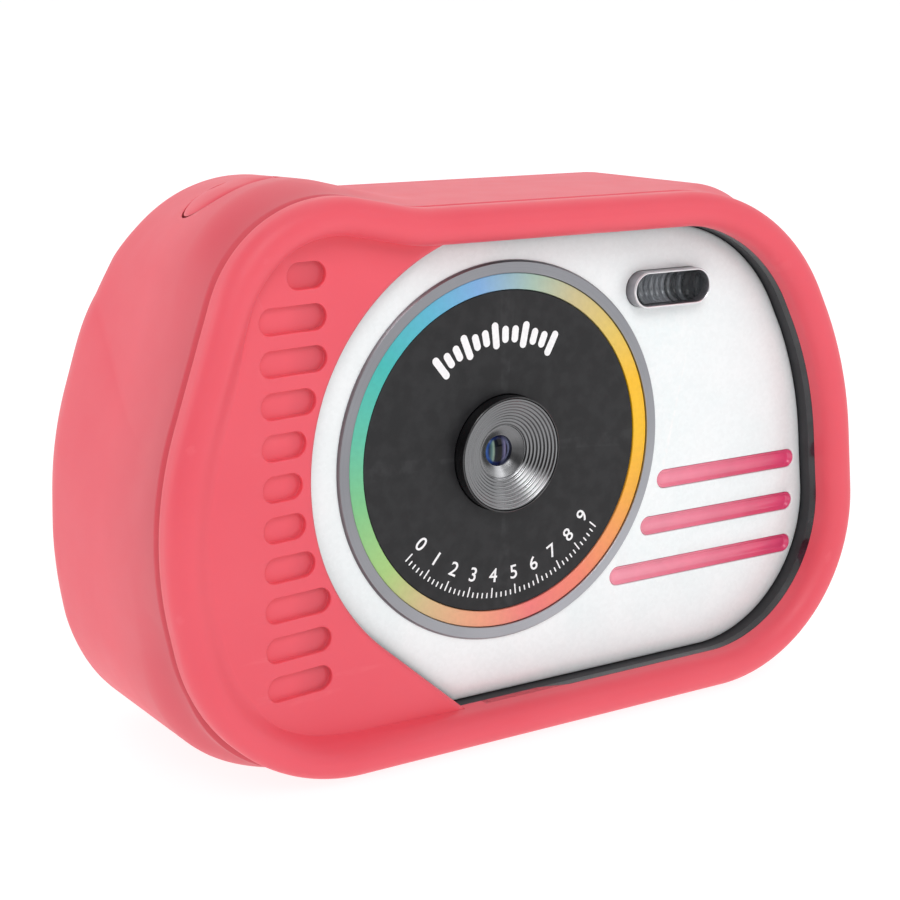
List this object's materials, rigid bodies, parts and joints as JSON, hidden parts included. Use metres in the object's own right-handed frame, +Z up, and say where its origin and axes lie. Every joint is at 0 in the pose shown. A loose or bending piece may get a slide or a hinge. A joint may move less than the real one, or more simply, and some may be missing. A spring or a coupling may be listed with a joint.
{
  "type": "digital camera",
  "caption": "Child's camera in a soft sleeve: raised front bead, round lens disc with colour ring, flash window, rear screen and keys, shutter button on a hump, hinged side port door.",
  "frame": {"origin": "middle of the overall box in X and Y, on the surface that the camera stands on", "axes": "lens looks along -Y, +X to the right as seen from the front, +Z up"},
  "size_m": [0.1024, 0.041, 0.0708],
  "materials": {
    "sleeve_silicone": "soft matte silicone",
    "case_plastic": "fine moulded texture",
    "plate_white": "satin painted",
    "trim_black": "gloss",
    "stripe_pink": "translucent gloss",
    "disc_dark": "smooth satin",
    "rainbow_film": "printed colour sweep under gloss",
    "silver": "spun satin",
    "lens_glass": "coated",
    "clear_window": "clear",
    "screen_window": "gloss black glass",
    "reflector": "ribbed mirror",
    "led": "phosphor",
    "board": "solder mask",
    "metal": "plated",
    "foam": "foam",
    "battery_foil": "matte foil",
    "flex": "polyimide",
    "wire": "insulation",
    "key_plastic": "satin",
    "component": "moulded"
  },
  "bodies": {
    "camera": {"silicone_sleeve": "sleeve_silicone", "trim_frame": "trim_black", "front_shell": "case_plastic", "rear_shell": "case_plastic", "shell_screws": "metal", "front_plate": "plate_white", "stripe_insert": "stripe_pink", "flash_bezel": "plate_white", "flash_window": "clear_window", "flash_reflector": "reflector", "flash_led": "led", "flash_board": "board", "lens_disc": "disc_dark", "rainbow_ring": "rainbow_film", "silver_ring": "silver", "lens_barrel": "trim_black", "lens_step_ring": "silver", "lens_glass": "lens_glass", "lens_cell": "component", "lens_elements": "lens_glass", "sensor_module": "component", "sensor_flex": "flex", "shutter_switch": "component", "shutter_board": "board", "lcd_window": "screen_window", "lcd_gasket": "foam", "lcd_panel": "component", "key_switches": "component", "main_board": "board", "board_screws": "metal", "battery": "battery_foil", "battery_pad": "foam", "battery_leads": "wire", "speaker": "component", "microphone": "metal", "usb_socket": "metal", "card_socket": "metal", "memory_card": "component", "door_pin": "metal", "lanyard_bar": "metal"},
    "shutter": {"shutter_button": "sleeve_silicone", "shutter_plunger": "component"},
    "port_door": {"port_door": "case_plastic"},
    "key_ok": {"key_ok": "key_plastic"},
    "key_up": {"key_up": "key_plastic"},
    "key_down": {"key_down": "key_plastic"},
    "key_left": {"key_left": "key_plastic"},
    "key_right": {"key_right": "key_plastic"},
    "key_power": {"key_power": "key_plastic"},
    "key_play": {"key_play": "key_plastic"}
  },
  "joints": [
    {"name": "shutter_press", "type": "slide", "parent": "camera", "child": "shutter", "axis": [0, 0, -1], "range_m": [0, 0.001], "stiffness_N_per_m": 400, "springref_m": -0.0004},
    {"name": "key_ok_press", "type": "slide", "parent": "camera", "child": "key_ok", "axis": [0, -1, 0], "range_m": [0, 0.0006], "stiffness_N_per_m": 400, "springref_m": -0.0003},
    {"name": "key_up_press", "type": "slide", "parent": "camera", "child": "key_up", "axis": [0, -1, 0], "range_m": [0, 0.0006], "stiffness_N_per_m": 400, "springref_m": -0.0003},
    {"name": "key_down_press", "type": "slide", "parent": "camera", "child": "key_down", "axis": [0, -1, 0], "range_m": [0, 0.0006], "stiffness_N_per_m": 400, "springref_m": -0.0003},
    {"name": "key_left_press", "type": "slide", "parent": "camera", "child": "key_left", "axis": [0, -1, 0], "range_m": [0, 0.0006], "stiffness_N_per_m": 400, "springref_m": -0.0003},
    {"name": "key_right_press", "type": "slide", "parent": "camera", "child": "key_right", "axis": [0, -1, 0], "range_m": [0, 0.0006], "stiffness_N_per_m": 400, "springref_m": -0.0003},
    {"name": "key_power_press", "type": "slide", "parent": "camera", "child": "key_power", "axis": [0, -1, 0], "range_m": [0, 0.0006], "stiffness_N_per_m": 400, "springref_m": -0.0003},
    {"name": "key_play_press", "type": "slide", "parent": "camera", "child": "key_play", "axis": [0, -1, 0], "range_m": [0, 0.0006], "stiffness_N_per_m": 400, "springref_m": -0.0003},
    {"name": "port_door_hinge", "type": "hinge", "parent": "camera", "child": "port_door", "pos_m": [0.0464, 0.0105, 0.0144], "axis": [0, 1, 0], "range_deg": [0, 95]}
  ]
}
